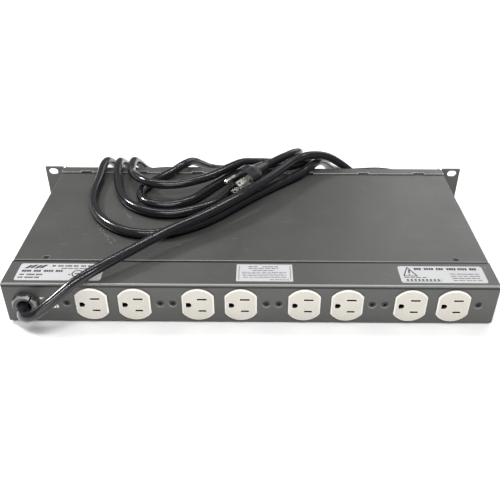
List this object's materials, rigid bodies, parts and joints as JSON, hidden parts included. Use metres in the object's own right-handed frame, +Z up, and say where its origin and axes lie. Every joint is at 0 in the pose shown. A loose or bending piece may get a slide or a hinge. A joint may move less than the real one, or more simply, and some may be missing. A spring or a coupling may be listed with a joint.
{
  "type": "rack power strip",
  "caption": "Low rack-mount power strip with eared panel, folded case, a row of outlets at the back, a switch and breaker at the front, and a captive cord.",
  "frame": {"origin": "centre of the base, at the height of the rack panel's lower edge, measured without the free cord and its plug", "axes": "+X along the width, with the cord's strain relief at -X; -Y out of the outlet side; +Y out of the rack front; +Z up"},
  "size_m": [0.4826, 0.3411, 0.0728],
  "materials": {
    "black_coat": "satin powder coat",
    "zinc_steel": "zinc plated",
    "black_steel": "blackened",
    "ivory_nylon": "satin",
    "dark_plastic": "matte",
    "brass_strip": "plain",
    "green_steel": "dyed",
    "red_plastic": "gloss",
    "white_plastic": "gloss",
    "board_green": "matte",
    "blue_coat": "matte",
    "yellow_film": "matte",
    "black_wire": "matte",
    "white_wire": "matte",
    "green_wire": "matte",
    "label_white": "matte film",
    "cord_jacket": "satin",
    "pin_metal": "nickel plated"
  },
  "bodies": {
    "strip": {"front_panel": "black_coat", "chassis": "black_coat", "rear_panel": "black_coat", "top_cover": "black_coat", "seam_bracket": "zinc_steel", "cover_screws": "black_steel", "panel_screws": "zinc_steel", "receptacle_face_1": "ivory_nylon", "receptacle_face_2": "ivory_nylon", "receptacle_face_3": "ivory_nylon", "receptacle_face_4": "ivory_nylon", "receptacle_body_1": "dark_plastic", "receptacle_body_2": "dark_plastic", "receptacle_body_3": "dark_plastic", "receptacle_body_4": "dark_plastic", "receptacle_yoke_1": "zinc_steel", "receptacle_yoke_2": "zinc_steel", "receptacle_yoke_3": "zinc_steel", "receptacle_yoke_4": "zinc_steel", "line_contacts_1": "brass_strip", "line_contacts_2": "brass_strip", "line_contacts_3": "brass_strip", "line_contacts_4": "brass_strip", "neutral_contacts_1": "brass_strip", "neutral_contacts_2": "brass_strip", "neutral_contacts_3": "brass_strip", "neutral_contacts_4": "brass_strip", "ground_contacts_1": "brass_strip", "ground_contacts_2": "brass_strip", "ground_contacts_3": "brass_strip", "ground_contacts_4": "brass_strip", "front_outlet_face": "ivory_nylon", "front_outlet_body": "dark_plastic", "front_outlet_yoke": "zinc_steel", "front_outlet_contacts": "brass_strip", "yoke_rivets": "black_steel", "line_screws": "brass_strip", "neutral_screws": "zinc_steel", "ground_screws": "green_steel", "switch_housing": "dark_plastic", "breaker_body": "dark_plastic", "breaker_nut": "zinc_steel", "terminal_tabs": "brass_strip", "surge_board": "board_green", "board_standoffs": "zinc_steel", "varistors": "blue_coat", "filter_capacitor": "yellow_film", "ground_stud": "zinc_steel", "line_wires": "black_wire", "neutral_wires": "white_wire", "ground_wires": "green_wire", "rating_label": "label_white", "approval_label": "label_white", "caution_label": "label_white", "strain_relief": "dark_plastic", "cord": "cord_jacket", "plug_body": "cord_jacket", "plug_pins": "pin_metal"},
    "rocker": {"switch_rocker": "red_plastic"},
    "reset_button": {"breaker_button": "white_plastic"}
  },
  "joints": [
    {"name": "rocker_tilt", "type": "hinge", "parent": "strip", "child": "rocker", "pos_m": [-0.178, 0.114, 0.02185], "axis": [1, 0, 0], "range_deg": [0, 24]},
    {"name": "reset_press", "type": "slide", "parent": "strip", "child": "reset_button", "axis": [0, 1, 0], "range_m": [0, 0.003]}
  ]
}
